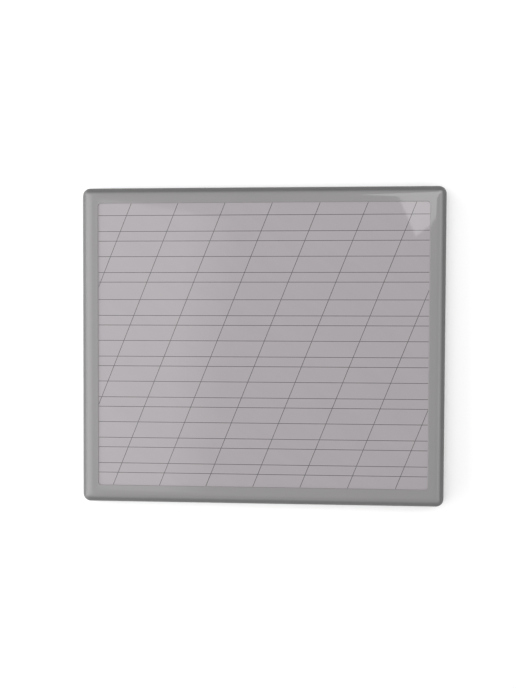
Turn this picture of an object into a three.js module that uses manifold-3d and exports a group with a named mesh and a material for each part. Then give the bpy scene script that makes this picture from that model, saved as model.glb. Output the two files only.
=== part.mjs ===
// A small magnetic whiteboard for a lap or a desk, lying on its feet with the writing face up.
// X runs along the width and Y towards the edge that is uppermost when the board is written on.
// The origin is the centre of the board's footprint, at the level of the feet. Millimetres.
import * as THREE from 'three';
import { mergeVertices } from 'three/addons/utils/BufferGeometryUtils.js';
import Module from 'manifold-3d';

const wasm = await Module();
wasm.setup();

// Window and frame, seen from the front
const WINDOW_WIDTH = 280;
const WINDOW_HEIGHT = 241;
const WINDOW_RADIUS = 3;
const WINDOW_SHIFT_X = -0.1;
const WINDOW_SHIFT_Y = -0.8;
const FACE_WIDTH = 10.5;
const FLANK_WIDTH = 4.5;
const OUTER_RADIUS = 6.5;

// Frame section
const LIP_RISE = 0.5;
const SHOULDER_WIDTH = 6;
const SHOULDER_DROP = 1.1;
const EDGE_BREAK = 0.3;
const FLANK_HEIGHT = 5.15;
const FLANK_BULGE = 0.45;
const SKIRT_WALL = 2.2;
const SKIRT_CHAMFER = 0.5;
const PLATE_THICKNESS = 1.9;
const FENCE_WIDTH = 1.8;
const FENCE_DEPTH = 1;
const LEAST_RADIUS = 1;

// Panel: steel sheet on a light core board, held under the frame's lip
const LIP_OVERLAP = 4.9;
const SHEET_THICKNESS = 0.5;
const CORE_THICKNESS = 4;

// Back cover
const COVER_RECESS = 0.5;
const COVER_THICKNESS = 2.2;
const RIB_HEIGHT = 3.8;
const RIB_WIDTH = 1.6;
const RIB_COLUMNS = 4;
const RIB_ROWS = 3;
const RIB_RING_SETBACK = 0.5;
const PAD_HEIGHT = 1.2;
const PAD_DIAMETER = 8.4;

// Screws and the bosses that take them
const BOSS_DIAMETER = 5.6;
const BOSS_INSET = 7;
const CORNER_SCREW_INSET = 15;
const SCREW_DIAMETER = 3;
const SCREW_LENGTH = 6;
const HEAD_DIAMETER = 5.4;
const HEAD_HEIGHT = 1.7;
const HEAD_SEAT_DEPTH = 2;
const PILOT_SPARE = 0.4;

// Rubber feet
const FOOT_DIAMETER = 12;
const FOOT_PROUD = 1.2;
const FOOT_RECESS = 0.8;
const FOOT_INSET = 30;
const FOOT_CHAMFER = 0.5;

// Printed writing lines, counted from the top edge of the window
const LINE_WIDTH = 0.5;
const LINE_THICKNESS = 0.08;
const TOP_MARGIN = 11;
const LETTER_ZONE = 8.2;
const FIRST_GAP = 13.7;
const TAIL_GAP = 13.5;
const HEAD_GAP = 13.15;
const WIDE_GAP = 14.85;
const WIDE_GAP_ROW = 3;
const FULL_ROWS = 6;
const SLANT_ANGLE = 68.3;
const SLANT_PITCH = 40;
const SLANT_START = 27.1;
const SLANT_CORNER_GAP = 10;
const LINE_END_GAP = 0.5;
const SLANT_END_GAP = 0.3;

// Clearances
const FIT_GAP = 0.3;
const JOIN = 0.5;

// Counts of facets
const CORNER_STEPS = 6;
const SHOULDER_STEPS = 5;
const FLANK_STEPS = 4;
const ROUND_STEPS = 16;
const FOOT_STEPS = 24;

// Levels, from the surface that the feet stand on
const skirtBottom = FOOT_PROUD;
const coverOuter = skirtBottom + COVER_RECESS;
const coverInner = coverOuter + COVER_THICKNESS;
const padTop = coverInner + PAD_HEIGHT;
const coreBottom = coverInner + RIB_HEIGHT;
const coreTop = coreBottom + CORE_THICKNESS;
const sheetTop = coreTop + SHEET_THICKNESS;
const faceTop = sheetTop + LIP_RISE;

// Places across the frame, each as a distance in from the board's outer edge
const windowInset = FACE_WIDTH + FLANK_WIDTH;
const shoulderInset = FLANK_WIDTH + SHOULDER_WIDTH;
const panelInset = windowInset - LIP_OVERLAP;
const fenceInner = panelInset - FIT_GAP;
const fenceOuter = fenceInner - FENCE_WIDTH;
const coverInset = SKIRT_WALL + FIT_GAP;

const halfWidth = WINDOW_WIDTH / 2 + windowInset;
const halfHeight = WINDOW_HEIGHT / 2 + windowInset;

// Corner radius of the shapes that run parallel to the board's outer edge
function radiusAt(inset) {
  return Math.max(OUTER_RADIUS - inset, LEAST_RADIUS);
}

// Height of the frame's face, which is level and then rolls over to meet the flank
function faceAt(inset) {
  const past = Math.max(shoulderInset - inset, 0) / SHOULDER_WIDTH;
  return faceTop - SHOULDER_DROP * past ** 2;
}

const creaseLevel = faceAt(FLANK_WIDTH);
const flankFoot = creaseLevel - FLANK_HEIGHT;

// Corners of a rounded rectangle set in from the board's outer edge, counter-clockwise. The shift
// is how much of the window's own offset the rectangle shares, from none to all of it.
function loop(inset, radius = radiusAt(inset), shift = 0) {
  const x = halfWidth - inset - radius;
  const y = halfHeight - inset - radius;
  const centres = [[x, y], [-x, y], [-x, -y], [x, -y]];
  const points = [];
  centres.forEach(([cx, cy], corner) => {
    for (let step = 0; step <= CORNER_STEPS; step += 1) {
      const angle = (corner + step / CORNER_STEPS) * Math.PI / 2;
      const px = cx + radius * Math.cos(angle) + shift * WINDOW_SHIFT_X;
      const py = cy + radius * Math.sin(angle) + shift * WINDOW_SHIFT_Y;
      points.push(new THREE.Vector2(px, py));
    }
  });
  return points;
}

// A closed ring whose section is given as rows of inset, level, corner radius and shift
function ringGeometry(rows) {
  const loops = rows.map((row) => loop(row.inset, row.radius, row.shift));
  const count = loops[0].length;
  const positions = [];
  loops.forEach((points, i) => points.forEach((p) => positions.push(p.x, p.y, rows[i].level)));
  const index = [];
  for (let i = 0; i < loops.length; i += 1) {
    const next = (i + 1) % loops.length;
    for (let j = 0; j < count; j += 1) {
      const k = (j + 1) % count;
      const [a, b, c, d] = [i * count + j, i * count + k, next * count + k, next * count + j];
      index.push(a, d, b, b, d, c);
    }
  }
  const geometry = new THREE.BufferGeometry();
  geometry.setAttribute('position', new THREE.Float32BufferAttribute(positions, 3));
  geometry.setIndex(index);
  return geometry;
}

// A flat plate with rounded corners, set in from the board's outer edge
function plateGeometry(inset, bottom, top) {
  const shape = new THREE.Shape(loop(inset));
  const geometry = new THREE.ExtrudeGeometry(shape, { depth: top - bottom, bevelEnabled: false });
  return geometry.translate(0, 0, bottom);
}

// A block given by its centre in plan, its size and its two levels
function blockGeometry(x, y, width, height, bottom, top) {
  const geometry = new THREE.BoxGeometry(width, height, top - bottom);
  return geometry.translate(x, y, (bottom + top) / 2);
}

// A round bar standing upright
function barGeometry(x, y, diameter, bottom, top, steps = ROUND_STEPS) {
  const geometry = new THREE.CylinderGeometry(diameter / 2, diameter / 2, top - bottom, steps);
  return geometry.rotateX(Math.PI / 2).translate(x, y, (bottom + top) / 2);
}

// A turned solid about an upright axis; the profile is radius and level, from the axis to the axis
function turnedGeometry(profile, steps) {
  const points = profile.map(([radius, level]) => new THREE.Vector2(radius, level));
  return new THREE.LatheGeometry(points, steps).rotateX(Math.PI / 2);
}

// Solids for cutting and joining, and back again
function solidOf(geometry) {
  const bare = geometry.clone();
  bare.deleteAttribute('normal');
  bare.deleteAttribute('uv');
  const merged = mergeVertices(bare);
  return new wasm.Manifold(new wasm.Mesh({
    numProp: 3,
    vertProperties: new Float32Array(merged.attributes.position.array),
    triVerts: new Uint32Array(merged.index.array),
  }));
}

function geometryOf(solid) {
  const mesh = solid.getMesh();
  const geometry = new THREE.BufferGeometry();
  geometry.setAttribute('position', new THREE.Float32BufferAttribute(mesh.vertProperties, 3));
  geometry.setIndex(Array.from(mesh.triVerts));
  geometry.computeVertexNormals();
  return geometry;
}

function join(geometries) {
  return geometries.map(solidOf).reduce((whole, piece) => whole.add(piece));
}

// Places that repeat
function screwPlaces() {
  const x = halfWidth - CORNER_SCREW_INSET;
  const y = halfHeight - BOSS_INSET;
  const places = [];
  for (const side of [1, -1]) {
    for (const share of [-1, -1 / 3, 1 / 3, 1]) {
      places.push([share * x, side * y]);
    }
    places.push([side * (halfWidth - BOSS_INSET), 0]);
  }
  return places;
}

function footPlaces() {
  const x = halfWidth - FOOT_INSET;
  const y = halfHeight - FOOT_INSET;
  return [[-x, y], [x, y], [-x, -y], [x, -y]];
}

// Distances of the level writing lines from the top of the window. The first zone has no tail
// line under it, and one row stands a little further off than the others.
function lineDrops() {
  const drops = [TOP_MARGIN, TOP_MARGIN + LETTER_ZONE];
  let drop = TOP_MARGIN + LETTER_ZONE + FIRST_GAP;
  for (let row = 0; row < FULL_ROWS; row += 1) {
    drops.push(drop, drop + LETTER_ZONE, drop + LETTER_ZONE + TAIL_GAP);
    drop += LETTER_ZONE + TAIL_GAP + (row === WIDE_GAP_ROW ? WIDE_GAP : HEAD_GAP);
  }
  return drops;
}

// Frame: a level face, a sloping flank and a skirt, with a fence inside that holds the panel.
// The window stands a little off the frame's centre, and the face takes up the difference.
function frameRows() {
  const rows = [];
  const add = (inset, level, radius, shift) => rows.push({ inset, level, radius, shift });
  const lipEdge = windowInset - EDGE_BREAK;
  const creaseRadius = radiusAt(FLANK_WIDTH);
  add(windowInset, sheetTop, WINDOW_RADIUS, 1);
  add(windowInset, faceTop - EDGE_BREAK, WINDOW_RADIUS, 1);
  add(lipEdge, faceTop, WINDOW_RADIUS, 1);
  for (let step = 0; step <= SHOULDER_STEPS; step += 1) {
    const inset = shoulderInset - SHOULDER_WIDTH * step / SHOULDER_STEPS;
    const share = (lipEdge - inset) / (lipEdge - FLANK_WIDTH);
    const radius = WINDOW_RADIUS + (creaseRadius - WINDOW_RADIUS) * share;
    add(inset, faceAt(inset), radius, 1 - share);
  }
  const slope = Math.hypot(FLANK_WIDTH, FLANK_HEIGHT);
  for (let step = 1; step <= FLANK_STEPS; step += 1) {
    const share = step / FLANK_STEPS;
    const bulge = 4 * FLANK_BULGE * share * (1 - share);
    const inset = FLANK_WIDTH * (1 - share) - bulge * FLANK_HEIGHT / slope;
    add(Math.max(inset, 0), creaseLevel - FLANK_HEIGHT * share + bulge * FLANK_WIDTH / slope);
  }
  add(0, skirtBottom + SKIRT_CHAMFER);
  add(SKIRT_CHAMFER, skirtBottom);
  add(SKIRT_WALL, skirtBottom);
  add(SKIRT_WALL, flankFoot - SKIRT_WALL / 2);
  add(FLANK_WIDTH + SKIRT_WALL / 2, creaseLevel - PLATE_THICKNESS);
  add(fenceOuter, creaseLevel - PLATE_THICKNESS);
  add(fenceOuter, coreBottom - FENCE_DEPTH);
  add(fenceInner, coreBottom - FENCE_DEPTH);
  add(fenceInner, sheetTop);
  return rows;
}

function frontFrame() {
  const seat = coverOuter + HEAD_SEAT_DEPTH;
  const bossTop = creaseLevel - PLATE_THICKNESS + JOIN;
  const pilotTop = seat + SCREW_LENGTH + PILOT_SPARE;
  let frame = solidOf(ringGeometry(frameRows()));
  for (const [x, y] of screwPlaces()) {
    frame = frame.add(solidOf(barGeometry(x, y, BOSS_DIAMETER, padTop, bossTop)));
  }
  for (const [x, y] of screwPlaces()) {
    const pilot = barGeometry(x, y, SCREW_DIAMETER + 2 * FIT_GAP, padTop - JOIN, pilotTop);
    frame = frame.subtract(solidOf(pilot));
  }
  return geometryOf(frame);
}

// Back cover: a plate inside the skirt, with ribs that carry the core board
function coverRibs() {
  const inset = panelInset + RIB_RING_SETBACK;
  const bottom = coverInner - JOIN;
  const left = inset + RIB_WIDTH - halfWidth;
  const low = inset + RIB_WIDTH - halfHeight;
  const cellWidth = (-2 * left - RIB_COLUMNS * RIB_WIDTH) / (RIB_COLUMNS + 1);
  const cellHeight = (-2 * low - RIB_ROWS * RIB_WIDTH) / (RIB_ROWS + 1);
  let ribs = solidOf(plateGeometry(inset, bottom, coreBottom));
  for (let column = 0; column <= RIB_COLUMNS; column += 1) {
    for (let row = 0; row <= RIB_ROWS; row += 1) {
      const x = left + cellWidth / 2 + column * (cellWidth + RIB_WIDTH);
      const y = low + cellHeight / 2 + row * (cellHeight + RIB_WIDTH);
      const cell = blockGeometry(x, y, cellWidth, cellHeight, bottom - JOIN, coreBottom + JOIN);
      ribs = ribs.subtract(solidOf(cell));
    }
  }
  return ribs;
}

function backCover() {
  const seat = coverOuter + HEAD_SEAT_DEPTH;
  const plate = plateGeometry(coverInset, coverOuter, coverInner);
  const pads = screwPlaces().map(([x, y]) => barGeometry(x, y, PAD_DIAMETER, coverInner - JOIN, padTop));
  let cover = join([plate, ...pads]).add(coverRibs());
  for (const [x, y] of screwPlaces()) {
    const hole = barGeometry(x, y, SCREW_DIAMETER + 2 * FIT_GAP, coverOuter, padTop + JOIN);
    const sink = barGeometry(x, y, HEAD_DIAMETER + 2 * FIT_GAP, coverOuter - JOIN, seat);
    cover = cover.subtract(join([hole, sink]));
  }
  for (const [x, y] of footPlaces()) {
    const top = coverOuter + FOOT_RECESS;
    const recess = barGeometry(x, y, FOOT_DIAMETER + 2 * FIT_GAP, coverOuter - JOIN, top, FOOT_STEPS);
    cover = cover.subtract(solidOf(recess));
  }
  return geometryOf(cover);
}

// Printed lines, level with the writing face: level lines crossed by evenly spaced slanted ones
function guidelines(bottom, top) {
  const lines = lineDrops().map((drop) => (
    blockGeometry(0, WINDOW_HEIGHT / 2 - drop, WINDOW_WIDTH, LINE_WIDTH, bottom, top)));
  const lean = THREE.MathUtils.degToRad(SLANT_ANGLE);
  const run = WINDOW_HEIGHT / Math.tan(lean);
  const reach = 1.1 * WINDOW_HEIGHT / Math.sin(lean);
  const last = WINDOW_WIDTH + run - SLANT_CORNER_GAP;
  for (let start = SLANT_START; start < last; start += SLANT_PITCH) {
    const line = new THREE.BoxGeometry(reach, LINE_WIDTH, top - bottom).rotateZ(lean);
    lines.push(line.translate(start - (WINDOW_WIDTH + run) / 2, 0, (bottom + top) / 2));
  }
  const width = WINDOW_WIDTH - 2 * LINE_END_GAP;
  const height = WINDOW_HEIGHT - 2 * SLANT_END_GAP;
  const clip = blockGeometry(0, 0, width, height, bottom, top);
  const print = geometryOf(join(lines).intersect(solidOf(clip)));
  return print.translate(WINDOW_SHIFT_X, WINDOW_SHIFT_Y, 0);
}

// Steel sheet, with the lines let into its lacquered face
function writingSheet() {
  const sheet = solidOf(plateGeometry(panelInset, coreTop, sheetTop));
  return geometryOf(sheet.subtract(solidOf(guidelines(sheetTop - LINE_THICKNESS, sheetTop))));
}

// Self-tapping screw, head down, with a flat seat under the head
function screw() {
  const tip = HEAD_HEIGHT + SCREW_LENGTH;
  const profile = [
    [0, 0],
    [HEAD_DIAMETER * 0.36, 0],
    [HEAD_DIAMETER / 2, HEAD_HEIGHT * 0.45],
    [HEAD_DIAMETER / 2, HEAD_HEIGHT],
    [SCREW_DIAMETER / 2, HEAD_HEIGHT],
    [SCREW_DIAMETER / 2, tip - SCREW_DIAMETER / 2],
    [SCREW_DIAMETER / 5, tip],
    [0, tip],
  ];
  return turnedGeometry(profile, ROUND_STEPS);
}

// Rubber foot with a chamfered lower edge
function foot() {
  const height = coverOuter + FOOT_RECESS;
  const radius = FOOT_DIAMETER / 2;
  return turnedGeometry([[0, 0], [radius - FOOT_CHAMFER, 0], [radius, FOOT_CHAMFER], [radius, height],
    [0, height]], FOOT_STEPS);
}

// Finishes
const finishes = {
  silverPlastic: { color: 0xa9a9a8, roughness: 0.42, metalness: 0.1 },
  greyPlastic: { color: 0x86868a, roughness: 0.5, metalness: 0 },
  whiteLacquer: { color: 0xc4bfc2, roughness: 0.18, metalness: 0 },
  greyInk: { color: 0x6a686c, roughness: 0.4, metalness: 0 },
  coreBoard: { color: 0xc9bfa8, roughness: 0.9, metalness: 0 },
  zincSteel: { color: 0xb0b2b6, roughness: 0.3, metalness: 0.9 },
  blackRubber: { color: 0x2b2b2d, roughness: 0.85, metalness: 0 },
};

const board = new THREE.Group();

function place(name, geometry, finish, x = 0, y = 0, z = 0) {
  const mesh = new THREE.Mesh(geometry, new THREE.MeshStandardMaterial(finishes[finish]));
  mesh.name = name;
  mesh.position.set(x, y, z);
  board.add(mesh);
}

place('front_frame', frontFrame(), 'silverPlastic');
place('writing_sheet', writingSheet(), 'whiteLacquer');
place('guideline_print', guidelines(sheetTop - LINE_THICKNESS, sheetTop), 'greyInk');
place('core_board', plateGeometry(panelInset, coreBottom, coreTop), 'coreBoard');
place('back_cover', backCover(), 'greyPlastic');

screwPlaces().forEach(([x, y], i) => {
  const z = coverOuter + HEAD_SEAT_DEPTH - HEAD_HEIGHT;
  place(`case_screw_${i + 1}`, screw(), 'zincSteel', x, y, z);
});

footPlaces().forEach(([x, y], i) => place(`rubber_foot_${i + 1}`, foot(), 'blackRubber', x, y));

export default board;
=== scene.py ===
"""Looks, lights and camera for a small framed magnetic whiteboard that lies on its rubber feet.

Sizes in the classes are millimetres, and Blender works in metres. X runs along the width, Y
towards the edge that is uppermost when the board is written on, and Z out of the writing face.
"""

import logging
import math
from collections.abc import Callable, Sequence
from dataclasses import dataclass
from enum import Enum

import bmesh
import bpy
from bpy.types import ID, Material, Node, NodeSocket, Object
from mathutils import Matrix, Vector


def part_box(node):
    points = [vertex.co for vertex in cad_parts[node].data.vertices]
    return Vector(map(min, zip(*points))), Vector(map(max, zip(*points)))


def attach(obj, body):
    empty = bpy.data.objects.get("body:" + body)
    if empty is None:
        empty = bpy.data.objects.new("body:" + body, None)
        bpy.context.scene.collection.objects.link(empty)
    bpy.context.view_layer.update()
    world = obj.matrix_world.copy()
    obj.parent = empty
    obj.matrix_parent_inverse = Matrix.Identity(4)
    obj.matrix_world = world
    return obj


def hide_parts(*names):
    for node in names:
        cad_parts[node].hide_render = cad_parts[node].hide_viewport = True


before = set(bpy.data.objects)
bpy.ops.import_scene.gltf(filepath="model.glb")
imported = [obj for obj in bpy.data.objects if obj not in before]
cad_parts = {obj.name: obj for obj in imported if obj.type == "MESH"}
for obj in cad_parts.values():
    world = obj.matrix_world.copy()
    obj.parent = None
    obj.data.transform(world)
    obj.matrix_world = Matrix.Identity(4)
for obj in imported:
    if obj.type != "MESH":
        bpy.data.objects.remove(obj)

MM = 0.001
SLIVER = 1e-6
LEVEL_SLACK_MM = 0.02
SHARP_ANGLE = math.radians(32.0)
ROOT = "root"
log = logging.getLogger("whiteboard")


class Element(Enum):
    """What is picked in edit mode."""

    VERTEX = "VERT"
    EDGE = "EDGE"
    FACE = "FACE"


class Combine(Enum):
    """How one solid changes another."""

    ADD = "UNION"
    CUT = "DIFFERENCE"


class Slot(Enum):
    """The record's material slots."""

    FRAME = "silver_plastic"
    COVER = "grey_plastic"
    SCREW = "zinc_steel"
    FOOT = "black_rubber"


# Node materials


def linear(colour: str) -> tuple[float, float, float, float]:
    """Turns an sRGB hex colour to linear light.

    Args:
        colour: Six hex digits after a hash sign.

    Returns:
        Red, green, blue and an alpha of one.
    """
    parts = [int(colour[i:i + 2], 16) / 255 for i in (1, 3, 5)]
    red, green, blue = (
        part / 12.92 if part <= 0.04045 else ((part + 0.055) / 1.055) ** 2.4 for part in parts)
    return red, green, blue, 1.0


class NodeTree:
    """The nodes of a material or world, added one at a time."""

    def __init__(self, owner: ID) -> None:
        """Empties the owner's node tree.

        Args:
            owner: The material or world.
        """
        self.owner = owner
        owner.use_nodes = True
        owner.node_tree.nodes.clear()

    def add(self, kind: str, values: dict[str | int, object] | None = None) -> Node:
        """Adds a shader node with its settings and links.

        Args:
            kind: The node's type name, after its first two words.
            values: Values for the node's own properties and its inputs, by name or number. A
                socket among them is linked, and so is a node, by its first output.

        Returns:
            The new node.
        """
        node = self.owner.node_tree.nodes.new(f"ShaderNode{kind}")
        for name, value in (values or {}).items():
            source = value.outputs[0] if isinstance(value, Node) else value
            if isinstance(source, NodeSocket):
                self.owner.node_tree.links.new(source, node.inputs[name])
            elif isinstance(name, str) and hasattr(node, name):
                setattr(node, name, value)
            else:
                node.inputs[name].default_value = value
        return node


class Surface(NodeTree):
    """A node material, whose patterns go by the place on the piece."""

    def __init__(self, name: str) -> None:
        """Makes the material, which shows nothing yet.

        Args:
            name: The material's name.
        """
        super().__init__(bpy.data.materials.new(name))
        self.place = self.add("TexCoord").outputs["Object"]

    def clouds(
        self, tones: tuple[str, str], size_mm: float, detail: float,
    ) -> tuple[Node, NodeSocket]:
        """Lets a colour drift between two tones in soft clouds.

        Args:
            tones: Two sRGB hex colours.
            size_mm: Size of a cloud.
            detail: Number of finer layers in it.

        Returns:
            The clouds' node, and the colour.
        """
        cloud = self.add("TexNoise", {
            "Scale": 1 / (size_mm * MM), "Detail": detail, "Vector": self.place})
        first, second = map(linear, tones)
        colour = self.add("Mix", {"data_type": "RGBA", 6: first, 7: second, 0: cloud})
        return cloud, colour.outputs[2]

    def show(self, shader: Node) -> Material:
        """Joins a shader to the output and returns the material."""
        self.add("OutputMaterial", {"Surface": shader})
        return self.owner


@dataclass(frozen=True)
class TexturedAbs:
    """Moulded ABS from a spark-eroded tool, left bare on the frame's flank and on the cover.

    The fine tooth scatters the light, so it shows no highlight. The darker grey is the plastic's
    own tone, and on the frame's flank it is also painted shade for a steep side that gets less
    light than the face.
    """

    # Darker than the lacquered face; on the frame's flank part of this is painted shade.
    tones: tuple[str, str] = ("#5d5d5d", "#585858")
    drift_mm: float = 45.0
    # The real tooth is about 0.15 mm, drawn coarser so that it shows.
    tooth_mm: float = 0.45
    tooth_height_mm: float = 0.02
    roughness: tuple[float, float] = (0.5, 0.62)

    def shader(self, paint: Surface) -> Node:
        """Adds the shader to a material.

        Args:
            paint: The material's nodes.

        Returns:
            The shader's node.
        """
        _, colour = paint.clouds(self.tones, self.drift_mm, 2.0)
        tooth = paint.add("TexNoise", {
            "Scale": 1 / (self.tooth_mm * MM), "Detail": 2.0, "Vector": paint.place})
        smooth_end, rough_end = self.roughness
        rough = paint.add("MapRange", {
            "From Min": 0.3, "From Max": 0.7, "To Min": smooth_end, "To Max": rough_end,
            "Value": tooth})
        bump = paint.add("Bump", {
            "Distance": self.tooth_height_mm * MM, "Height": tooth})
        return paint.add("BsdfPrincipled", {
            "Metallic": 0.0, "IOR": 1.53, "Specular IOR Level": 0.35, "Base Color": colour,
            "Roughness": rough, "Normal": bump})

    def material(self) -> Material:
        """Returns the finished material."""
        paint = Surface("spark_textured_abs")
        return paint.show(self.shader(paint))


@dataclass(frozen=True)
class SilverLacquer:
    """Silver-grey lacquer with a clear gloss over it, sprayed on the moulded face of the frame.

    It mirrors a lamp almost as sharply as the panel does, over an even grey with no grain. The
    lacquer thins out over the shoulder and leaves the flank as bare, darker plastic. That fade is
    also painted shade, which darkens the shoulder towards the crease where it rolls over.
    """

    tones: tuple[str, str] = ("#838182", "#7f7e7e")
    drift_mm: float = 70.0
    peel_mm: float = 2.2
    peel_height_mm: float = 0.0006
    mist_mm: float = 0.6
    mist_share: float = 0.25
    roughness: tuple[float, float] = (0.32, 0.40)
    gloss_roughness: float = 0.04

    def material(self, spray_and_shade: str) -> Material:
        """Makes the finished material.

        Args:
            spray_and_shade: The attribute that says how thick the lacquer lies, from none at 0 to
                full at 1;
            as it thins the colour turns to the darker bare plastic, which paints shade over
            the shoulder and flank.

        Returns:
            The material.
        """
        paint = Surface("silver_lacquer_over_abs")
        _, colour = paint.clouds(self.tones, self.drift_mm, 2.0)
        peel = paint.add("TexNoise", {
            "Scale": 1 / (self.peel_mm * MM), "Detail": 1.0, "Vector": paint.place})
        smooth_end, rough_end = self.roughness
        rough = paint.add("MapRange", {
            "From Min": 0.3, "From Max": 0.7, "To Min": smooth_end, "To Max": rough_end,
            "Value": peel})
        bump = paint.add("Bump", {
            "Distance": self.peel_height_mm * MM, "Height": peel})
        lacquer = paint.add("BsdfPrincipled", {
            "Metallic": 0.0, "IOR": 1.46, "Specular IOR Level": 0.35, "Coat Weight": 1.0,
            "Coat Roughness": self.gloss_roughness, "Coat IOR": 1.5, "Base Color": colour,
            "Roughness": rough, "Normal": bump, "Coat Normal": bump})
        # The bare plastic that the lacquer fades to; on the shoulder and flank it is painted
        # shade.
        bare = TexturedAbs().shader(paint)
        thickness = paint.add("Attribute", {"attribute_name": spray_and_shade})
        mist = paint.add("TexNoise", {
            "Scale": 1 / (self.mist_mm * MM), "Detail": 2.0, "Vector": paint.place})
        half = self.mist_share / 2
        speckle = paint.add("MapRange", {"To Min": -half, "To Max": half, "Value": mist})
        uneven = paint.add("Math", {"operation": "ADD", 0: thickness.outputs["Fac"], 1: speckle})
        cover = paint.add("MapRange", {
            "interpolation_type": "SMOOTHSTEP", "From Min": half, "From Max": 1 - half,
            "Value": uneven})
        return paint.show(paint.add("MixShader", {0: cover, 1: bare, 2: lacquer}))


@dataclass(frozen=True)
class DryEraseLacquer:
    """Baked gloss lacquer on sheet steel, the face that is written on and wiped.

    It is smooth enough to mirror a lamp with a crisp edge. Wiping leaves faint streaks in the
    gloss and a barely seen haze in the colour, and the sheet is never quite flat.
    """

    base: str = "#9b9699"
    haze: str = "#999498"
    streak_mm: tuple[float, float] = (14.0, 90.0)
    streak_angle: float = -38.0
    wave_mm: float = 55.0
    wave_height_mm: float = 0.006
    roughness: tuple[float, float] = (0.02, 0.045)

    def material(self) -> Material:
        """Builds the material.

        Returns:
            The material.
        """
        paint = Surface("dry_erase_lacquer_on_steel")
        across, along = self.streak_mm
        turned = paint.add("Mapping", {
            "vector_type": "TEXTURE", "Rotation": (0.0, 0.0, math.radians(self.streak_angle)),
            "Scale": (along * MM, across * MM, 1.0), "Vector": paint.place})
        streaks = paint.add("TexNoise", {
            "Scale": 1.0, "Detail": 3.0, "Distortion": 0.6, "Vector": turned})
        strength = paint.add("MapRange", {"From Min": 0.35, "From Max": 0.75, "Value": streaks})
        colour = paint.add("Mix", {
            "data_type": "RGBA", 6: linear(self.base), 7: linear(self.haze), 0: strength})
        clean, wiped = self.roughness
        rough = paint.add("MapRange", {
            "From Min": 0.3, "From Max": 0.75, "To Min": clean, "To Max": wiped,
            "Value": streaks})
        wave = paint.add("TexNoise", {
            "Scale": 1 / (self.wave_mm * MM), "Detail": 0.0, "Vector": paint.place})
        bump = paint.add("Bump", {
            "Distance": self.wave_height_mm * MM, "Height": wave})
        return paint.show(paint.add("BsdfPrincipled", {
            "Metallic": 0.0, "IOR": 1.5, "Specular IOR Level": 0.5,
            "Base Color": colour.outputs[2], "Roughness": rough, "Normal": bump}))


@dataclass(frozen=True)
class PrintedInk:
    """Screen-printed grey ink under the clear top coat.

    The lines share the panel's gloss, and the ink lies a little thinner here and there.
    """

    tones: tuple[str, str] = ("#474548", "#59575a")
    patch_mm: float = 9.0
    roughness: float = 0.03

    def material(self) -> Material:
        """Builds the material.

        Returns:
            The material.
        """
        paint = Surface("screen_printed_ink")
        _, colour = paint.clouds(self.tones, self.patch_mm, 4.0)
        return paint.show(paint.add("BsdfPrincipled", {
            "Metallic": 0.0, "IOR": 1.5, "Specular IOR Level": 0.5,
            "Roughness": self.roughness, "Base Color": colour}))


@dataclass(frozen=True)
class FibreBoard:
    """Pressed paper board, the light core behind the steel.

    Its cut edge is dull and buff, with short fibres a shade lighter and darker.
    """

    base: str = "#cbc0a8"
    fibre: str = "#b3a68b"
    fibre_mm: tuple[float, float] = (0.6, 4.0)
    fibre_height_mm: float = 0.05

    def material(self) -> Material:
        """Builds the material.

        Returns:
            The material.
        """
        paint = Surface("pressed_fibre_board")
        across, along = self.fibre_mm
        stretched = paint.add("Mapping", {
            "Scale": (1 / (along * MM), 1 / (across * MM), 1 / (across * MM)),
            "Vector": paint.place})
        fibres = paint.add("TexNoise", {
            "Scale": 1.0, "Detail": 5.0, "Roughness": 0.6, "Vector": stretched})
        colour = paint.add("Mix", {
            "data_type": "RGBA", 6: linear(self.base), 7: linear(self.fibre), 0: fibres})
        bump = paint.add("Bump", {
            "Strength": 0.6, "Distance": self.fibre_height_mm * MM, "Height": fibres})
        return paint.show(paint.add("BsdfPrincipled", {
            "Metallic": 0.0, "IOR": 1.45, "Roughness": 0.9, "Specular IOR Level": 0.2,
            "Base Color": colour.outputs[2], "Normal": bump}))


@dataclass(frozen=True)
class ZincPlate:
    """Bright zinc plate on a rolled steel screw.

    It is a slightly dull metal, with a fine crystal grain that breaks up the highlight.
    """

    base: str = "#b4b7bb"
    grain: str = "#a4a7ac"
    grain_mm: float = 0.35
    grain_height_mm: float = 0.01
    roughness: tuple[float, float] = (0.26, 0.42)

    def material(self) -> Material:
        """Builds the material.

        Returns:
            The material.
        """
        paint = Surface("zinc_plated_steel")
        crystals = paint.add("TexVoronoi", {
            "Scale": 1 / (self.grain_mm * MM), "Vector": paint.place})
        colour = paint.add("Mix", {
            "data_type": "RGBA", 6: linear(self.base), 7: linear(self.grain), 0: crystals})
        bright, dull = self.roughness
        rough = paint.add("MapRange", {"To Min": bright, "To Max": dull, "Value": crystals})
        bump = paint.add("Bump", {
            "Strength": 0.3, "Distance": self.grain_height_mm * MM, "Height": crystals})
        return paint.show(paint.add("BsdfPrincipled", {
            "Metallic": 1.0, "Base Color": colour.outputs[2], "Roughness": rough,
            "Normal": bump}))


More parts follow.
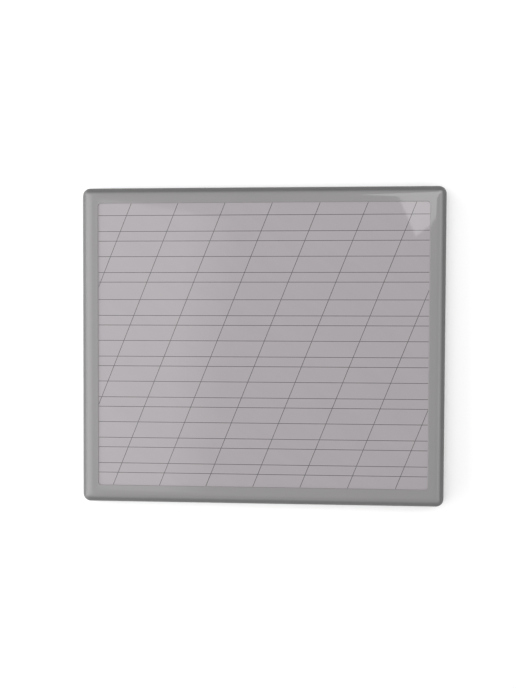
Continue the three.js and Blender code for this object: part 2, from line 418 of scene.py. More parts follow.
@dataclass(frozen=True)
class MouldedRubber:
    """Black moulded rubber, matte, with the faint bloom that rubber takes with age."""

    tones: tuple[str, str] = ("#262628", "#343436")
    bloom_mm: float = 3.0
    tooth_mm: float = 0.3
    tooth_height_mm: float = 0.02
    roughness: tuple[float, float] = (0.72, 0.9)

    def material(self) -> Material:
        """Builds the material.

        Returns:
            The material.
        """
        paint = Surface("moulded_black_rubber")
        bloom, colour = paint.clouds(self.tones, self.bloom_mm, 4.0)
        tooth = paint.add("TexNoise", {
            "Scale": 1 / (self.tooth_mm * MM), "Detail": 2.0, "Vector": paint.place})
        clean, bloomed = self.roughness
        rough = paint.add("MapRange", {"To Min": clean, "To Max": bloomed, "Value": bloom})
        bump = paint.add("Bump", {
            "Strength": 0.5, "Distance": self.tooth_height_mm * MM, "Height": tooth})
        return paint.show(paint.add("BsdfPrincipled", {
            "Metallic": 0.0, "IOR": 1.52, "Specular IOR Level": 0.3, "Base Color": colour,
            "Roughness": rough, "Normal": bump}))


@dataclass(frozen=True)
class BackdropPaper:
    """Matte white backdrop paper, with a tone so even that it falls back behind the board."""

    tones: tuple[str, str] = ("#fdfdfd", "#fbfbfb")
    drift_mm: float = 400.0

    def material(self) -> Material:
        """Builds the material.

        Returns:
            The material.
        """
        paint = Surface("white_backdrop_paper")
        _, colour = paint.clouds(self.tones, self.drift_mm, 1.0)
        return paint.show(paint.add("BsdfPrincipled", {
            "Metallic": 0.0, "Roughness": 0.95, "Specular IOR Level": 0.1,
            "Base Color": colour}))


# Modelling by hand


def activate(*pieces: Object) -> None:
    """Selects these objects alone and makes the first one active."""
    bpy.ops.object.select_all(action="DESELECT")
    for piece in pieces:
        piece.select_set(True)
    bpy.context.view_layer.objects.active = pieces[0]


def edit(piece: Object) -> None:
    """Opens one piece in edit mode."""
    activate(piece)
    bpy.ops.object.mode_set(mode="EDIT")


def leave_edit() -> None:
    """Goes back to object mode."""
    bpy.ops.object.mode_set(mode="OBJECT")


def pick(piece: Object, element: Element, test: Callable[..., bool]) -> None:
    """Selects in edit mode the vertices, edges or faces that pass a test.

    Args:
        piece: The object in edit mode.
        element: What is picked.
        test: Says of one vertex, edge or face whether it is picked.
    """
    bpy.ops.mesh.select_mode(type=element.value)
    bpy.ops.mesh.select_all(action="DESELECT")
    mesh = bmesh.from_edit_mesh(piece.data)
    mesh.verts.index_update()
    items = {Element.VERTEX: mesh.verts, Element.EDGE: mesh.edges, Element.FACE: mesh.faces}
    for item in items[element]:
        if test(item):
            item.select_set(True)
    mesh.select_flush_mode()
    bmesh.update_edit_mesh(piece.data)


def at_level(level: float) -> Callable[..., bool]:
    """Makes a test for edges and faces that lie flat at one height in millimetres."""
    return lambda item: all(
        abs(corner.co.z / MM - level) < LEVEL_SLACK_MM for corner in item.verts)


def extrude(rise: float) -> None:
    """Draws the picked faces upwards by so many millimetres."""
    bpy.ops.mesh.extrude_region_move(TRANSFORM_OT_translate={"value": (0, 0, rise * MM)})


def stretch(across: float, up: float, level: float) -> None:
    """Scales what is picked along X and Y, about the axis of the board at a level."""
    bpy.ops.transform.resize(value=(across, up, 1.0), center_override=(0, 0, level * MM))


def bevel(width: float, steps: int) -> None:
    """Bevels the picked edges to a width in millimetres, in so many flats."""
    bpy.ops.mesh.bevel(offset_type="OFFSET", offset=width * MM, segments=steps, affect="EDGES")


def cylinder(name: str, radius: float, bottom: float, top: float, sides: int = 32) -> Object:
    """Adds an upright cylinder at the origin in plan.

    Args:
        name: The object's name.
        radius: Millimetres.
        bottom: Level of the lower face, millimetres.
        top: Level of the upper face, millimetres.
        sides: Number of sides.

    Returns:
        The new object.
    """
    bpy.ops.mesh.primitive_cylinder_add(
        vertices=sides, radius=radius * MM, depth=(top - bottom) * MM,
        location=(0.0, 0.0, (bottom + top) / 2 * MM))
    piece = bpy.context.object
    piece.name = name
    settle(piece)
    return piece


def settle(piece: Object) -> None:
    """Puts a piece's place into its mesh and leaves its object at the origin."""
    activate(piece)
    bpy.ops.object.transform_apply(location=True, rotation=True, scale=True)


def block(name: str, width: float, height: float, bottom: float, top: float) -> Object:
    """Adds a block at the origin in plan.

    Args:
        name: The object's name.
        width: Along X, millimetres.
        height: Along Y, millimetres.
        bottom: Level of the lower face, millimetres.
        top: Level of the upper face, millimetres.

    Returns:
        The new object.
    """
    centre = (0.0, 0.0, (bottom + top) / 2 * MM)
    bpy.ops.mesh.primitive_cube_add(size=1, location=centre)
    piece = bpy.context.object
    piece.name = name
    edit(piece)
    bpy.ops.transform.resize(value=(width * MM, height * MM, (top - bottom) * MM),
                             center_override=centre)
    leave_edit()
    settle(piece)
    return piece


def slab(
    name: str, width: float, height: float, radius: float, bottom: float, top: float, steps: int,
) -> Object:
    """Adds a flat block with rounded corners in plan.

    Args:
        name: The object's name.
        width: Along X, millimetres.
        height: Along Y, millimetres.
        radius: Of the corners, millimetres.
        bottom: Level of the lower face, millimetres.
        top: Level of the upper face, millimetres.
        steps: Number of flats in each corner.

    Returns:
        The new object.
    """
    piece = block(name, width, height, bottom, top)
    edit(piece)
    pick(piece, Element.EDGE, lambda edge: abs(edge.verts[0].co.z - edge.verts[1].co.z) > MM)
    bevel(radius, steps)
    leave_edit()
    return piece


def copies(piece: Object, places: Sequence[tuple[float, float]], stem: str) -> list[Object]:
    """Copies a piece that was modelled at the origin, each copy with its own mesh.

    Args:
        piece: The piece to copy; it becomes the first one.
        places: Centres in plan, millimetres.
        stem: The copies are named by this and their number, from one.

    Returns:
        The pieces in the order of their places.
    """
    made = []
    for number, (x, y) in enumerate(places, start=1):
        activate(piece)
        bpy.ops.object.duplicate(linked=False)
        copy = bpy.context.object
        copy.name = f"{stem}_{number}"
        bpy.ops.transform.translate(value=(x * MM, y * MM, 0.0))
        settle(copy)
        made.append(copy)
    bpy.data.objects.remove(piece, do_unlink=True)
    return made


def joined(pieces: Sequence[Object]) -> Object:
    """Joins pieces into the first one.

    Args:
        pieces: The pieces.

    Returns:
        The first piece, which now holds them all.
    """
    activate(*pieces)
    bpy.ops.object.join()
    return pieces[0]


def combine(piece: Object, tool: Object, how: Combine) -> None:
    """Adds a tool to a piece or cuts it away, and removes the tool and any face without area.

    Args:
        piece: The solid that changes.
        tool: The solid that is added or cut away.
        how: Which of the two.
    """
    activate(piece)
    change = piece.modifiers.new(how.name.lower(), "BOOLEAN")
    change.operation = how.value
    change.solver = "EXACT"
    change.object = tool
    bpy.ops.object.modifier_apply(modifier=change.name)
    bpy.data.objects.remove(tool, do_unlink=True)
    edit(piece)
    bpy.ops.mesh.select_all(action="SELECT")
    bpy.ops.mesh.dissolve_degenerate(threshold=SLIVER)
    leave_edit()


def smooth(piece: Object) -> None:
    """Smooths a piece's shading between sharp edges, with large flat faces kept flat.

    Args:
        piece: The finished piece.
    """
    activate(piece)
    bpy.ops.object.shade_smooth_by_angle(angle=SHARP_ANGLE)
    weigh = piece.modifiers.new("weigh", "WEIGHTED_NORMAL")
    weigh.keep_sharp = True
    bpy.ops.object.modifier_apply(modifier=weigh.name)


def hand_over(piece: Object, node: str) -> None:
    """Lets a finished piece stand for its CAD node.

    Args:
        piece: The finished piece.
        node: The CAD node that it replaces.
    """
    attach(piece, ROOT)
    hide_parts(node)
    lo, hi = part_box(node)
    log.info("%s stands for %s, which spans %s to %s", piece.name, node, lo, hi)


def hand_over_copies(
    piece: Object, places: Sequence[tuple[float, float]], stem: str, node: str,
) -> None:
    """Smooths and copies a piece, and lets each copy stand for its CAD node.

    Args:
        piece: The piece, modelled at the origin in plan.
        places: Centres in plan, millimetres.
        stem: The copies' name before their number.
        node: The CAD nodes' name before their number.
    """
    smooth(piece)
    for number, copy in enumerate(copies(piece, places, stem), start=1):
        hand_over(copy, f"{node}_{number}")


# Sizes that several pieces share


@dataclass(frozen=True)
class Layout:
    """Outline, levels and fixing places of the board, as the CAD has them."""

    width: float = 310.0
    height: float = 271.0
    outer_radius: float = 6.5
    least_radius: float = 1.0
    window_shift: tuple[float, float] = (-0.1, -0.8)
    skirt_bottom: float = 1.2
    cover_outer: float = 1.7
    cover_inner: float = 3.9
    pad_top: float = 5.1
    core_bottom: float = 7.7
    sheet_top: float = 12.2
    face_top: float = 12.7
    screw_seat: float = 3.7
    corner_screw_inset: float = 15.0
    boss_inset: float = 7.0
    foot_inset: float = 30.0

    def radius_at(self, inset: float) -> float:
        """Returns the corner radius of a shape set in from the outer edge."""
        return max(self.outer_radius - inset, self.least_radius)

    def screw_places(self) -> list[tuple[float, float]]:
        """Lists where the case screws are.

        Returns:
            Their centres in plan, in the order of their CAD nodes.
        """
        x = self.width / 2 - self.corner_screw_inset
        y = self.height / 2 - self.boss_inset
        places = []
        for side in (1, -1):
            places += [(share * x, side * y) for share in (-1, -1 / 3, 1 / 3, 1)]
            places.append((side * (self.width / 2 - self.boss_inset), 0.0))
        return places

    def foot_places(self) -> list[tuple[float, float]]:
        """Lists where the rubber feet are.

        Returns:
            Their centres in plan, in the order of their CAD nodes.
        """
        x = self.width / 2 - self.foot_inset
        y = self.height / 2 - self.foot_inset
        return [(-x, y), (x, y), (-x, -y), (x, -y)]


@dataclass(frozen=True)
class SectionRow:
    """One corner of the frame's section, swept round the board."""

    inset: float
    level: float
    radius: float
    shift: float = 0.0
    # How thick the lacquer lies at this corner; its fade to bare plastic is painted shade.
    spray_and_shade: float = 0.0


# Sub-assemblies


@dataclass
class FrontFrame:
    """The one-piece moulded frame: a level face, a sloping flank, a skirt, a fence and bosses."""

    layout: Layout
    window_inset: float = 15.0
    window_radius: float = 3.0
    lip_round: tuple[float, float] = (0.2, 0.2)
    # Insets where the lacquer starts and where it is full; the fade between paints the shade over
    # the shoulder.
    spray_and_shade_span: tuple[float, float] = (3.0, 6.8)
    spray_and_shade_name: str = "spray_and_shade"
    shoulder_width: float = 6.0
    shoulder_drop: float = 1.1
    flank_width: float = 4.5
    flank_height: float = 5.15
    flank_bulge: float = 0.45
    skirt_wall: float = 2.2
    skirt_fillet: float = 0.5
    plate_thickness: float = 1.9
    fence_inner: float = 9.8
    fence_outer: float = 8.0
    fence_depth: float = 1.0
    boss_radius: float = 2.8
    pilot_radius: float = 1.8
    pilot_top: float = 10.1
    overlap: float = 0.5
    corner_steps: int = 12
    fillet_steps: int = 6
    row_spread: float = 20.0
    face_steps: int = 3
    shoulder_steps: int = 10
    flank_steps: int = 12

    def face_level(self, inset: float) -> float:
        """Returns the height of the face, which is level and then rolls over the shoulder."""
        past = max(self.flank_width + self.shoulder_width - inset, 0.0) / self.shoulder_width
        return self.layout.face_top - self.shoulder_drop * past ** 2

    def spray_and_shade_at(self, inset: float) -> float:
        """Returns how thick the lacquer lies, from none on the flank to full on the face; the
        fade paints the shade over the shoulder.
        """
        bare, full = self.spray_and_shade_span
        return min(max((inset - bare) / (full - bare), 0.0), 1.0)

    def lacquered_rows(self) -> list[SectionRow]:
        """Lists the section's upper side.

        Returns:
            Its corners, from the foot of the window's wall to the crease at the flank.
        """
        top = self.window_inset
        wide, high = self.lip_round
        rows = [SectionRow(top, self.layout.sheet_top, self.window_radius, 1.0, 1.0)]
        for step in range(self.fillet_steps + 1):
            angle = math.pi / 2 * step / self.fillet_steps
            out = wide * (1 - math.cos(angle))
            level = self.layout.face_top - high * (1 - math.sin(angle))
            rows.append(SectionRow(top - out, level, self.window_radius + out, 1.0, 1.0))
        start = top - wide
        shoulder = self.flank_width + self.shoulder_width
        insets = [start - (start - shoulder) * step / self.face_steps
                  for step in range(1, self.face_steps + 1)]
        insets += [shoulder - self.shoulder_width * step / self.shoulder_steps
                   for step in range(1, self.shoulder_steps + 1)]
        end_radius = self.layout.radius_at(self.flank_width)
        for inset in insets:
            share = (start - inset) / (start - self.flank_width)
            radius = self.window_radius + wide
            radius += (end_radius - radius) * share
            rows.append(SectionRow(
                inset, self.face_level(inset), radius, 1 - share, self.spray_and_shade_at(inset)))
        return rows

    def bare_rows(self) -> list[SectionRow]:
        """Lists the rest of the section.

        Returns:
            Its corners, from the crease round the skirt and back to the window.
        """
        lay = self.layout
        crease = self.face_level(self.flank_width)
        slope = math.hypot(self.flank_width, self.flank_height)
        corners = []
        for step in range(1, self.flank_steps + 1):
            share = step / self.flank_steps
            bulge = 4 * self.flank_bulge * share * (1 - share)
            corners.append((
                self.flank_width * (1 - share) - bulge * self.flank_height / slope,
                crease - self.flank_height * share + bulge * self.flank_width / slope))
        for step in range(self.fillet_steps + 1):
            angle = math.pi / 2 * step / self.fillet_steps
            corners.append((self.skirt_fillet * (1 - math.cos(angle)),
                            lay.skirt_bottom + self.skirt_fillet * (1 - math.sin(angle))))
        under = crease - self.plate_thickness
        fence_bottom = lay.core_bottom - self.fence_depth
        corners += [
            (self.skirt_wall, lay.skirt_bottom),
            (self.skirt_wall, crease - self.flank_height - self.skirt_wall / 2),
            (self.flank_width + self.skirt_wall / 2, under),
            (self.fence_outer, under),
            (self.fence_outer, fence_bottom),
            (self.fence_inner, fence_bottom),
            (self.fence_inner, lay.sheet_top),
        ]
        flank = self.flank_steps
        return [SectionRow(inset, level, lay.radius_at(inset),
                           spray_and_shade=self.spray_and_shade_at(inset) if i < flank else 0.0)
                for i, (inset, level) in enumerate(corners)]

    def add_outline(self, row: SectionRow, lift: float) -> None:
        """Adds one rounded outline to the mesh in edit mode.

        Args:
            row: The section's corner that the outline stands for.
            lift: How far above its level it is drawn for now, in millimetres.
        """
        lay = self.layout
        centre = (row.shift * lay.window_shift[0] * MM, row.shift * lay.window_shift[1] * MM,
                  (row.level + lift) * MM)
        bpy.ops.mesh.primitive_plane_add(size=1, location=centre)
        bpy.ops.transform.resize(
            value=((lay.width - 2 * row.inset) * MM, (lay.height - 2 * row.inset) * MM, 1.0),
            center_override=centre)
        bpy.ops.mesh.bevel(offset_type="OFFSET", offset=row.radius * MM,
                           segments=self.corner_steps, affect="VERTICES")
        bpy.ops.mesh.delete(type="ONLY_FACE")

    def sweep(self) -> Object:
        """Bridges the section's outlines into one closed ring.

        The outlines are drawn spread apart in height, since bridging twists two that share a
        centre, and each goes down to its level once they are bridged.

        Returns:
            The ring.
        """
        rows = self.lacquered_rows() + self.bare_rows()
        bpy.ops.mesh.primitive_plane_add(size=1)
        ring = bpy.context.object
        ring.name = "frame_moulding"
        edit(ring)
        bpy.ops.mesh.delete(type="VERT")
        for i, row in enumerate(rows):
            self.add_outline(row, i * self.row_spread)
        spread = self.row_spread * MM
        for i in range(len(rows)):
            pair = (i, (i + 1) % len(rows))
            pick(ring, Element.VERTEX, lambda corner: corner.co.z // spread in pair)
            bpy.ops.mesh.bridge_edge_loops()
        for i in range(1, len(rows)):
            pick(ring, Element.VERTEX, lambda corner: corner.co.z // spread == i)
            bpy.ops.transform.translate(value=(0, 0, -i * spread))
        bpy.ops.mesh.select_all(action="SELECT")
        bpy.ops.mesh.normals_make_consistent(inside=False)
        leave_edit()
        count = 4 * (self.corner_steps + 1)
        # Each outline's lacquer thickness, whose fade paints the shade over the shoulder and
        # flank.
        spray_and_shade = ring.data.attributes.new(self.spray_and_shade_name, "FLOAT", "POINT")
        spray_and_shade.data.foreach_set("value", [row.spray_and_shade for row in rows for _ in range(count)])
        return ring

    def bosses(self) -> Object:
        """Models one screw boss and copies it to the fixing places.

        Returns:
            All the bosses as one piece.
        """
        lay = self.layout
        top = self.face_level(self.flank_width) - self.plate_thickness + self.overlap
        boss = cylinder("boss", self.boss_radius, lay.pad_top, top)
        edit(boss)
        pick(boss, Element.FACE, at_level(lay.pad_top))
        bpy.ops.mesh.inset(thickness=(self.boss_radius - self.pilot_radius) * MM)
        extrude(self.pilot_top - lay.pad_top)
        leave_edit()
        return joined(copies(boss, lay.screw_places(), "boss"))

    def build(self) -> None:
        """Builds, dresses and hands over the frame."""
        ring = self.sweep()
        ring.data.materials.append(SilverLacquer().material(self.spray_and_shade_name))
        bosses = self.bosses()
        bosses.data.materials.append(ring.data.materials[0])
        combine(ring, bosses, Combine.ADD)
        smooth(ring)
        hand_over(ring, "front_frame")


@dataclass
class BackCover:
    """The flat moulded cover inside the skirt, with screw sinks, foot wells and inner ribs."""

    layout: Layout
    inset: float = 2.5
    edge_bevel: float = 0.4
    bevel_steps: int = 3
    rib_inset: float = 10.6
    rib_width: float = 1.6
    rib_columns: int = 5
    rib_rows: int = 4
    pad_radius: float = 4.2
    sink_radius: float = 3.0
    hole_radius: float = 1.8
    mouth_chamfer: float = 0.4
    well_radius: float = 6.3
    well_depth: float = 0.8
    overlap: float = 0.5
    corner_steps: int = 12

    def plate(self) -> Object:
        """Models the plate with rounded corners and a softened lower edge.

        Returns:
            The plate.
        """
        lay = self.layout
        plate = slab("cover_moulding", lay.width - 2 * self.inset, lay.height - 2 * self.inset,
                     lay.radius_at(self.inset), lay.cover_outer, lay.cover_inner,
                     self.corner_steps)
        edit(plate)
        pick(plate, Element.FACE, at_level(lay.cover_outer))
        bevel(self.edge_bevel, self.bevel_steps)
        leave_edit()
        return plate

    def ribs(self) -> Object:
        """Models the waffle of ribs that carries the core board.

        Returns:
            The ribs as one piece.
        """
        lay = self.layout
        low = lay.cover_inner - self.overlap
        across = lay.width - 2 * self.rib_inset
        up = lay.height - 2 * self.rib_inset
        bpy.ops.mesh.primitive_grid_add(
            x_subdivisions=self.rib_columns, y_subdivisions=self.rib_rows, size=1,
            location=(0, 0, lay.core_bottom * MM))
        ribs = bpy.context.object
        ribs.name = "ribs"
        edit(ribs)
        stretch((across - self.rib_width) * MM, (up - self.rib_width) * MM, lay.core_bottom)
        leave_edit()
        settle(ribs)
        edit(ribs)
        bpy.ops.mesh.select_mode(type=Element.FACE.value)
        bpy.ops.mesh.select_all(action="SELECT")
        bpy.ops.mesh.inset(thickness=self.rib_width / 2 * MM, use_individual=True)
        pick(ribs, Element.VERTEX, lambda corner: corner.is_boundary)
        stretch(across / (across - self.rib_width), up / (up - self.rib_width), lay.core_bottom)
        cell = across * up * MM * MM / (self.rib_columns * self.rib_rows)
        pick(ribs, Element.FACE, lambda face: face.calc_area() > cell / 2)
        extrude(lay.cover_inner - self.overlap / 2 - lay.core_bottom)
        pick(ribs, Element.EDGE, lambda edge: edge.is_boundary)
        bpy.ops.mesh.extrude_edges_move(TRANSFORM_OT_translate={
            "value": (0, 0, (low - lay.core_bottom) * MM)})
        bpy.ops.mesh.edge_face_add()
        bpy.ops.mesh.select_all(action="SELECT")
        bpy.ops.mesh.normals_make_consistent(inside=False)
        leave_edit()
        return ribs

    def mouthed_cutter(self, name: str, radius: float, top: float) -> Object:
        """Models a round cutter at the origin in plan, which flares through the outer face.

        Args:
            name: The cutter's name.
            radius: Its radius above the flare.
            top: Its upper level.

        Returns:
            The cutter.
        """
        start = self.layout.cover_outer + self.mouth_chamfer
        cutter = cylinder(name, radius, start, top)
        edit(cutter)
        pick(cutter, Element.FACE, at_level(start))
        run = self.mouth_chamfer + self.overlap
        extrude(-run)
        flare = 1 + run / radius
        stretch(flare, flare, start - run)
        leave_edit()
        return cutter

    def screw_cutters(self) -> Object:
        """Models one stepped cutter for a screw's sink and hole, and copies it.

        Returns:
            All the cutters as one piece.
        """
        lay = self.layout
        cutter = self.mouthed_cutter("sink", self.sink_radius, lay.screw_seat)
        edit(cutter)
        pick(cutter, Element.FACE, at_level(lay.screw_seat))
        bpy.ops.mesh.inset(thickness=(self.sink_radius - self.hole_radius) * MM)
        extrude(lay.pad_top + self.overlap - lay.screw_seat)
        leave_edit()
        return joined(copies(cutter, lay.screw_places(), "sink"))

    def foot_cutters(self) -> Object:
        """Models one cutter for a foot's well, with a chamfered mouth, and copies it.

        Returns:
            All the cutters as one piece.
        """
        lay = self.layout
        cutter = self.mouthed_cutter("well", self.well_radius, lay.cover_outer + self.well_depth)
        return joined(copies(cutter, lay.foot_places(), "well"))

    def build(self) -> None:
        """Builds, dresses and hands over the cover."""
        lay = self.layout
        cover = self.plate()
        cover.data.materials.append(TexturedAbs().material())
        combine(cover, self.ribs(), Combine.ADD)
        pad = cylinder("pad", self.pad_radius, lay.cover_inner - self.overlap, lay.pad_top)
        combine(cover, joined(copies(pad, lay.screw_places(), "pad")), Combine.ADD)
        cutters = joined([self.screw_cutters(), self.foot_cutters()])
        combine(cover, cutters, Combine.CUT)
        smooth(cover)
        hand_over(cover, "back_cover")


@dataclass
class CaseScrews:
    """Ten self-tapping pan-head screws with a cross recess, head down in the cover's sinks."""

    layout: Layout
    head_bottom: float = 2.0
    head_radius: float = 2.7
    head_round: float = 0.85
    shank_radius: float = 1.5
    shank_length: float = 6.0
    tip_length: float = 1.5
    recess_length: float = 3.0
    recess_width: float = 0.6
    recess_depth: float = 1.0
    recess_overrun: float = 0.4
    recess_taper: tuple[float, float] = (0.4, 0.7)
    tip_share: float = 0.4
    sides: int = 40
    round_steps: int = 6

    def recess(self) -> Object:
        """Models the cutter for the cross recess, two tapered blades at right angles.

        Returns:
            The cutter.
        """
        deep = self.head_bottom + self.recess_depth
        blades = []
        for turn in (0.0, math.pi / 2):
            blade = block("blade", self.recess_length, self.recess_width,
                          self.head_bottom - self.recess_overrun, deep)
            edit(blade)
            pick(blade, Element.FACE, at_level(deep))
            stretch(*self.recess_taper, deep)
            bpy.ops.mesh.select_all(action="SELECT")
            bpy.ops.transform.rotate(value=turn, orient_axis="Z", center_override=(0, 0, 0))
            leave_edit()
            blades.append(blade)
        combine(blades[0], blades[1], Combine.ADD)
        return blades[0]

    def screw(self) -> Object:
        """Models one screw at the origin in plan.

        Returns:
            The screw.
        """
        seat = self.layout.screw_seat
        screw = cylinder("screw", self.head_radius, self.head_bottom, seat, self.sides)
        edit(screw)
        pick(screw, Element.FACE, at_level(self.head_bottom))
        bevel(self.head_round, self.round_steps)
        pick(screw, Element.FACE, at_level(seat))
        bpy.ops.mesh.inset(thickness=(self.head_radius - self.shank_radius) * MM)
        extrude(self.shank_length - self.tip_length)
        extrude(self.tip_length)
        stretch(self.tip_share, self.tip_share, seat + self.shank_length)
        leave_edit()
        combine(screw, self.recess(), Combine.CUT)
        return screw

    def build(self) -> None:
        """Builds, dresses and hands over the screws."""
        screw = self.screw()
        screw.data.materials.append(ZincPlate().material())
        hand_over_copies(
            screw, self.layout.screw_places(), "cross_head_screw", "case_screw")


@dataclass
class RubberFeet:
    """Four round rubber feet with a rounded rim and two fine grip grooves."""

    layout: Layout
    radius: float = 6.0
    top: float = 2.5
    rim_round: float = 0.6
    groove_places: tuple[float, float] = (1.3, 3.0)
    groove_width: float = 0.35
    groove_depth: float = 0.25
    sides: int = 64
    round_steps: int = 5

    def foot(self) -> Object:
        """Models one foot at the origin in plan.

        Returns:
            The foot.
        """
        foot = cylinder("foot", self.radius, 0.0, self.top, self.sides)
        edit(foot)
        pick(foot, Element.FACE, at_level(0.0))
        bevel(self.rim_round, self.round_steps)
        reached = self.rim_round
        for start in self.groove_places:
            pick(foot, Element.FACE, lambda face: at_level(0.0)(face) and len(face.verts) > 4)
            bpy.ops.mesh.inset(thickness=(start + self.rim_round - reached) * MM)
            bpy.ops.mesh.inset(thickness=self.groove_width * MM, depth=-self.groove_depth * MM)
            bpy.ops.mesh.inset(thickness=self.groove_width * MM, depth=self.groove_depth * MM)
            reached = start + self.rim_round + 2 * self.groove_width
        leave_edit()
        return foot

    def build(self) -> None:
        """Builds, dresses and hands over the feet."""
        foot = self.foot()
        foot.data.materials.append(MouldedRubber().material())
        hand_over_copies(
            foot, self.layout.foot_places(), "grip_foot", "rubber_foot")


@dataclass
class WritingPanel:
    """The panel behind the window: steel sheet, print and core board, whose CAD shapes stay."""

    def build(self) -> None:
        """Gives each CAD node its finish."""
        finishes = {
            "writing_sheet": DryEraseLacquer(),
            "guideline_print": PrintedInk(),
            "core_board": FibreBoard(),
        }
        for node, finish in finishes.items():
            material = finish.material()
            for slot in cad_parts[node].material_slots:
                slot.material = material
            log.info("%s keeps its CAD shape and takes %s", node, material.name)


# Floor, lights and camera


def rectangular_lamp(
    name: str, turn: Matrix, centre: Vector, size: tuple[float, float], power: float,
) -> None:
    """Adds a rectangular lamp.

    Args:
        name: The lamp's name.
        turn: Its directions: along the first side, along the second and away from its light.
        centre: Where its middle is, in metres.
        size: Its two sides, in metres.
        power: Its power in watts.
    """
    bpy.ops.object.light_add(type="AREA", location=centre)
    lamp = bpy.context.object
    lamp.name = name
    lamp.data.shape = "RECTANGLE"
    lamp.data.size, lamp.data.size_y = size
    lamp.data.energy = power
    lamp.matrix_world = Matrix.Translation(centre) @ turn.to_4x4()


@dataclass(frozen=True)
class SoftLight:
    """A rectangular lamp with soft edges to its shadows."""

    name: str
    place: tuple[float, float, float]
    aim: tuple[float, float, float]
    size: tuple[float, float]
    power: float

    def build(self) -> None:
        """Adds the lamp, in metres and watts."""
        turn = (Vector(self.aim) - Vector(self.place)).to_track_quat("-Z", "Y").to_matrix()
        rectangular_lamp(self.name, turn, Vector(self.place), self.size, self.power)


@dataclass(frozen=True)
class FeatheredPanel:
    """A panel overhead whose mirror image in the writing face fades out along its inner edge.

    It is built of panes that share the outer edge and end one after another on the inner side.
    Each hangs a little above the one before, because lamps in one plane would hide each other.
    """

    outer_start: tuple[float, float, float] = (0.413, -0.326, 0.775)
    outer_end: tuple[float, float, float] = (0.546, 0.483, 1.147)
    width: float = 0.274
    feather: float = 0.12
    rise: float = 0.005
    panes: int = 7
    radiance: float = 0.93

    def build(self) -> None:
        """Adds the panes."""
        start, end = Vector(self.outer_start), Vector(self.outer_end)
        along = (end - start).normalized()
        inward = Vector((0.0, 0.0, 1.0)).cross(along).normalized()
        facing = inward.cross(-along)
        turn = Matrix((inward, -along, facing)).transposed()
        length = (end - start).length
        for pane in range(self.panes):
            wide = self.width + self.feather * (0.5 - pane / (self.panes - 1))
            centre = (start + end) / 2 + inward * wide / 2 + facing * self.rise * pane
            power = math.pi * self.radiance / self.panes * wide * length
            rectangular_lamp(f"feathered_pane_{pane + 1}", turn, centre, (wide, length), power)


@dataclass(frozen=True)
class CornerLamp:
    """The lamp that the gloss mirrors in the corner of the board at the camera's upper right.

    Its near corner and the two edges that leave it are given by what the camera sees of them in
    the writing face: the lamp is turned until a true rectangle shows that corner's angle.
    """

    corner: tuple[float, float] = (-128.5, -91.8)
    first_edge: tuple[float, float] = (-110.5, -132.5)
    second_edge: tuple[float, float] = (-151.0, -112.2)
    distance: float = 1.2
    size: tuple[float, float] = (0.41, 0.38)
    power: float = 1.15

    def build(self, camera_place: Vector, face_level: float) -> None:
        """Adds the lamp.

        Args:
            camera_place: Where the camera stands, in metres.
            face_level: Height of the writing face, in metres.
        """
        mirrored = Vector((camera_place.x, camera_place.y, 2 * face_level - camera_place.z))
        way, *ends = [
            (Vector((x * MM, y * MM, face_level)) - mirrored).normalized()
            for x, y in (self.corner, self.first_edge, self.second_edge)]
        sides = [(end - way * end.dot(way)).normalized() for end in ends]
        lean = math.atan(math.sqrt(max(sides[0].dot(sides[1]), 0.0)))
        first = sides[0] * math.cos(lean) + way * math.sin(lean)
        second = sides[1] * math.cos(lean) - way * math.sin(lean)
        facing = first.cross(second).normalized()
        if facing.dot(way) < 0:
            first, second, facing = second, first, -facing
        wide, high = self.size
        centre = mirrored + way * self.distance + first * wide / 2 + second * high / 2
        turn = Matrix((first, second, facing)).transposed()
        rectangular_lamp("corner_lamp", turn, centre, self.size, self.power)


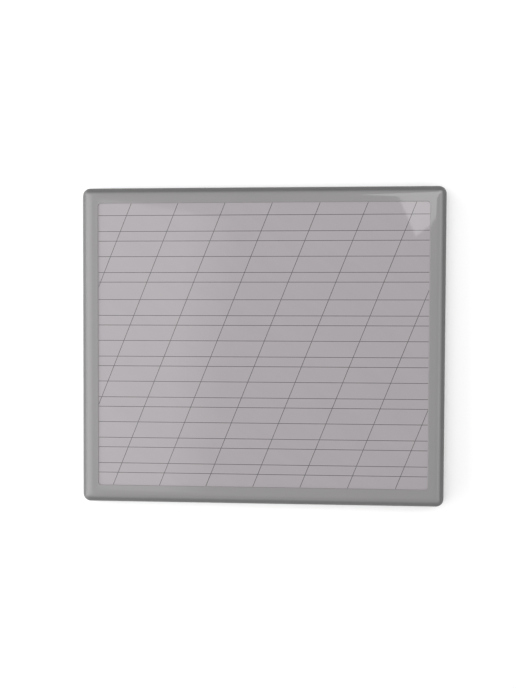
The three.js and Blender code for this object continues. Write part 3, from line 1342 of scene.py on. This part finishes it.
@dataclass(frozen=True)
class Studio:
    """A plain pale floor under plain soft light, seen from the photograph's viewing angle."""

    layout: Layout
    floor_size: float = 6.0
    world_colour: str = "#f6f6f6"
    world_strength: float = 0.27
    camera_place: tuple[float, float, float] = (-15.15, -10.22, 448.98)
    camera_aim: tuple[float, float, float] = (2.86, -2.08, 12.0)
    camera_up: tuple[float, float, float] = (0.00485, -0.99982, -0.01842)
    sensor_height: float = 24.0
    # The focal length is 517 pixels where the picture is 688 pixels high.
    focal_share: float = 517 / 688
    # The overhead panel reaches past all that the gloss mirrors, so no edge of it shows there.
    lamps: tuple[SoftLight, ...] = (
        SoftLight("overhead_panel", (0.1, -0.12, 0.95), (0.1, -0.12, 0.0), (2.4, 1.9), 8.6),
        SoftLight("left_panel", (0.9, 0.0, 0.85), (0.0, 0.0, 0.0), (2.4, 0.75), 4.8),
        SoftLight("left_low_panel", (1.05, 0.0, 0.28), (0.0, 0.0, 0.0), (2.2, 0.5), 15.5),
        SoftLight("right_panel", (-1.2, 0.0, 0.52), (0.0, 0.0, 0.0), (2.6, 1.1), 7.8),
        SoftLight("front_panel", (0.0, 1.3, 0.4), (0.0, 0.0, 0.0), (2.0, 0.8), 3.5),
    )

    def floor(self) -> None:
        """Adds the floor at the level of the feet."""
        bpy.ops.mesh.primitive_plane_add(size=self.floor_size)
        floor = bpy.context.object
        floor.name = "pale_floor"
        floor.data.materials.append(BackdropPaper().material())

    def world(self) -> None:
        """Fills the surroundings with an even pale light."""
        world = bpy.data.worlds.new("even_sky")
        bpy.context.scene.world = world
        tree = NodeTree(world)
        sky = tree.add("Background", {
            "Color": linear(self.world_colour), "Strength": self.world_strength})
        tree.add("OutputWorld", {"Surface": sky})

    def camera(self) -> Vector:
        """Adds the camera at the photograph's viewing angle.

        Returns:
            Where the camera stands, in metres.
        """
        place = Vector(self.camera_place) * MM
        back = (place - Vector(self.camera_aim) * MM).normalized()
        right = Vector(self.camera_up).cross(back).normalized()
        up = back.cross(right)
        data = bpy.data.cameras.new("photo_camera")
        data.sensor_fit = "VERTICAL"
        data.sensor_height = self.sensor_height
        data.lens = self.sensor_height * self.focal_share
        data.clip_start = 0.01
        camera = bpy.data.objects.new("photo_camera", data)
        bpy.context.scene.collection.objects.link(camera)
        camera.matrix_world = (
            Matrix.Translation(place) @ Matrix((right, up, back)).transposed().to_4x4())
        bpy.context.scene.camera = camera
        return place

    def build(self) -> None:
        """Sets the whole stage."""
        self.floor()
        self.world()
        place = self.camera()
        for lamp in self.lamps:
            lamp.build()
        FeatheredPanel().build()
        CornerLamp().build(place, self.layout.sheet_top * MM)
        view = bpy.context.scene.view_settings
        view.view_transform = "Standard"
        view.look = "None"


def main() -> None:
    """Builds every piece in order."""
    logging.basicConfig(level=logging.INFO, format="%(name)s: %(message)s")
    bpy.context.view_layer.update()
    layout = Layout()
    WritingPanel().build()
    FrontFrame(layout).build()
    BackCover(layout).build()
    CaseScrews(layout).build()
    RubberFeet(layout).build()
    Studio(layout).build()


if __name__ == "__main__":
    main()
